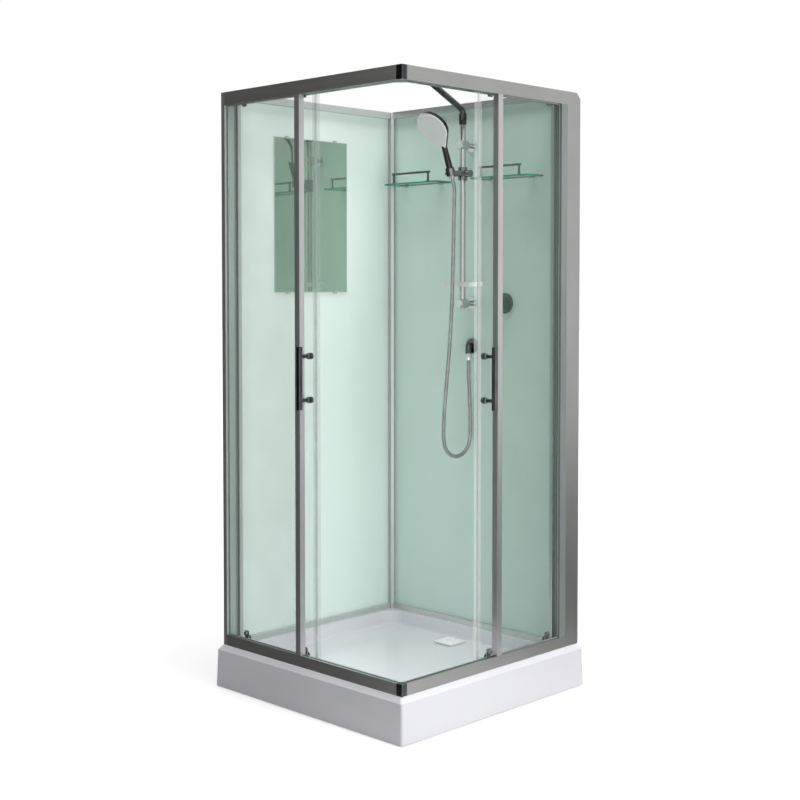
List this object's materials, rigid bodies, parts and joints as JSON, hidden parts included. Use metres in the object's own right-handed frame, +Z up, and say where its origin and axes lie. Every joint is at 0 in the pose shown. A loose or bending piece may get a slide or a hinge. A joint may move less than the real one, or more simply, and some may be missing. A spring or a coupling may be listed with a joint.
{
  "type": "shower cabin",
  "caption": "Corner-entry framed shower cabin with sliding glass doors, low tray, riser rail, hand shower, overhead arm, mixer, shelves and mirror.",
  "frame": {"origin": "on the floor under the middle of the tray", "axes": "+Z up, front door faces -Y, side door faces +X, shower wall at +Y, mirror wall at -X"},
  "size_m": [0.9, 0.9, 2.124],
  "materials": {
    "acrylic": "glossy white acrylic",
    "painted_steel": "satin paint",
    "zinc_steel": "zinc plated",
    "grey_plastic": "satin grey",
    "wall_glass": "back-painted mint",
    "aluminium": "satin anodised",
    "clear_glass": "clear tempered",
    "seal": "milky soft plastic",
    "chrome": "polished",
    "chrome_plastic": "chrome plated",
    "white_plastic": "glossy white",
    "roller_plastic": "satin black",
    "mirror": "silvered glass",
    "clear_plastic": "clear acrylic",
    "hose": "spiral metal, polished",
    "brass": "raw brass"
  },
  "bodies": {
    "root": {"tray_shell": "acrylic", "tray_frame": "painted_steel", "levelling_feet": "zinc_steel", "drain_waste": "grey_plastic", "left_wall_glass": "wall_glass", "back_wall_glass": "wall_glass", "left_wall_profiles": "aluminium", "back_wall_profiles": "aluminium", "corner_post": "aluminium", "left_post": "aluminium", "right_post": "aluminium", "right_inner_profile": "aluminium", "front_top_rail": "aluminium", "side_top_rail": "aluminium", "front_bottom_rail": "aluminium", "side_bottom_rail": "aluminium", "front_edge_profile": "aluminium", "side_edge_profile": "aluminium", "front_fixed_glass": "clear_glass", "side_fixed_glass": "clear_glass", "left_shelf": "clear_glass", "right_shelf": "clear_glass", "corner_connectors": "chrome", "shelf_galleries": "chrome", "glass_clips": "chrome", "riser_pipe": "chrome", "riser_brackets": "chrome", "wall_elbow": "chrome", "outlet_hose_nut": "chrome", "mixer_plate": "chrome", "mirror": "mirror", "soap_dish": "clear_plastic", "shower_hose": "hose", "mixer_valve": "brass", "supply_pipes": "brass"},
    "front_door": {"front_door_glass": "clear_glass", "front_door_seals": "seal", "front_door_handle": "chrome", "front_roller_hangers": "zinc_steel"},
    "front_roller_top_lead": {"front_roller_top_lead": "roller_plastic"},
    "front_roller_top_trail": {"front_roller_top_trail": "roller_plastic"},
    "front_roller_bottom_lead": {"front_roller_bottom_lead": "roller_plastic"},
    "front_roller_bottom_trail": {"front_roller_bottom_trail": "roller_plastic"},
    "side_door": {"side_door_glass": "clear_glass", "side_door_seals": "seal", "side_door_handle": "chrome", "side_roller_hangers": "zinc_steel"},
    "side_roller_top_lead": {"side_roller_top_lead": "roller_plastic"},
    "side_roller_top_trail": {"side_roller_top_trail": "roller_plastic"},
    "side_roller_bottom_lead": {"side_roller_bottom_lead": "roller_plastic"},
    "side_roller_bottom_trail": {"side_roller_bottom_trail": "roller_plastic"},
    "slider": {"slider": "chrome_plastic"},
    "handset": {"handset_holder": "chrome_plastic", "handset_body": "chrome_plastic", "handset_face": "white_plastic", "handset_hose_nut": "chrome"},
    "overhead_arm": {"overhead_arm": "chrome"},
    "rain_head": {"rain_head": "chrome_plastic"},
    "mixer_lever": {"mixer_lever": "chrome"},
    "drain_cover": {"drain_cover": "grey_plastic"}
  },
  "joints": [
    {"name": "front_door_slide", "type": "slide", "parent": "root", "child": "front_door", "axis": [1, 0, 0], "range_m": [0, 0.364]},
    {"name": "front_roller_top_lead_spin", "type": "hinge", "parent": "front_door", "child": "front_roller_top_lead", "pos_m": [-0.041, -0.392, 2.009], "axis": [0, 1, 0], "range_deg": [-5, 2323]},
    {"name": "front_roller_top_trail_spin", "type": "hinge", "parent": "front_door", "child": "front_roller_top_trail", "pos_m": [-0.342, -0.392, 2.009], "axis": [0, 1, 0], "range_deg": [-5, 2323]},
    {"name": "front_roller_bottom_lead_spin", "type": "hinge", "parent": "front_door", "child": "front_roller_bottom_lead", "pos_m": [-0.041, -0.392, 0.175], "axis": [0, 1, 0], "range_deg": [-5, 2323]},
    {"name": "front_roller_bottom_trail_spin", "type": "hinge", "parent": "front_door", "child": "front_roller_bottom_trail", "pos_m": [-0.342, -0.392, 0.175], "axis": [0, 1, 0], "range_deg": [-5, 2323]},
    {"name": "side_door_slide", "type": "slide", "parent": "root", "child": "side_door", "axis": [0, -1, 0], "range_m": [0, 0.328]},
    {"name": "side_roller_top_lead_spin", "type": "hinge", "parent": "side_door", "child": "side_roller_top_lead", "pos_m": [0.392, 0.005, 2.009], "axis": [1, 0, 0], "range_deg": [-5, 2094]},
    {"name": "side_roller_top_trail_spin", "type": "hinge", "parent": "side_door", "child": "side_roller_top_trail", "pos_m": [0.392, 0.306, 2.009], "axis": [1, 0, 0], "range_deg": [-5, 2094]},
    {"name": "side_roller_bottom_lead_spin", "type": "hinge", "parent": "side_door", "child": "side_roller_bottom_lead", "pos_m": [0.392, 0.005, 0.175], "axis": [1, 0, 0], "range_deg": [-5, 2094]},
    {"name": "side_roller_bottom_trail_spin", "type": "hinge", "parent": "side_door", "child": "side_roller_bottom_trail", "pos_m": [0.392, 0.306, 0.175], "axis": [1, 0, 0], "range_deg": [-5, 2094]},
    {"name": "slider_slide", "type": "slide", "parent": "root", "child": "slider", "axis": [0, 0, 1], "range_m": [-0.33, 0.04], "deforming": ["shower_hose"]},
    {"name": "handset_tilt", "type": "hinge", "parent": "slider", "child": "handset", "pos_m": [0.012, 0.24385, 1.7776], "axis": [1, 0, 0], "range_deg": [-8, 20], "deforming": ["shower_hose"]},
    {"name": "overhead_arm_swivel", "type": "hinge", "parent": "root", "child": "overhead_arm", "pos_m": [0.012, 0.306, 1.988], "axis": [0, 0, 1], "range_deg": [-40, 40]},
    {"name": "rain_head_tilt", "type": "hinge", "parent": "overhead_arm", "child": "rain_head", "pos_m": [0.012, -0.02, 2.1025], "axis": [1, 0, 0], "range_deg": [-15, 4]},
    {"name": "mixer_turn", "type": "hinge", "parent": "root", "child": "mixer_lever", "pos_m": [0.165, 0.34, 1.319], "axis": [0, 1, 0], "range_deg": [-45, 45]},
    {"name": "drain_cover_lift", "type": "slide", "parent": "root", "child": "drain_cover", "axis": [0, 0, 1], "range_m": [0, 0.06]}
  ],
  "couplings": [
    {"joint": "front_roller_top_lead_spin", "follows": "front_door_slide", "rad_per_m": 111.11},
    {"joint": "front_roller_top_trail_spin", "follows": "front_door_slide", "rad_per_m": 111.11},
    {"joint": "front_roller_bottom_lead_spin", "follows": "front_door_slide", "rad_per_m": 111.11},
    {"joint": "front_roller_bottom_trail_spin", "follows": "front_door_slide", "rad_per_m": 111.11},
    {"joint": "side_roller_top_lead_spin", "follows": "side_door_slide", "rad_per_m": 111.11},
    {"joint": "side_roller_top_trail_spin", "follows": "side_door_slide", "rad_per_m": 111.11},
    {"joint": "side_roller_bottom_lead_spin", "follows": "side_door_slide", "rad_per_m": 111.11},
    {"joint": "side_roller_bottom_trail_spin", "follows": "side_door_slide", "rad_per_m": 111.11}
  ]
}
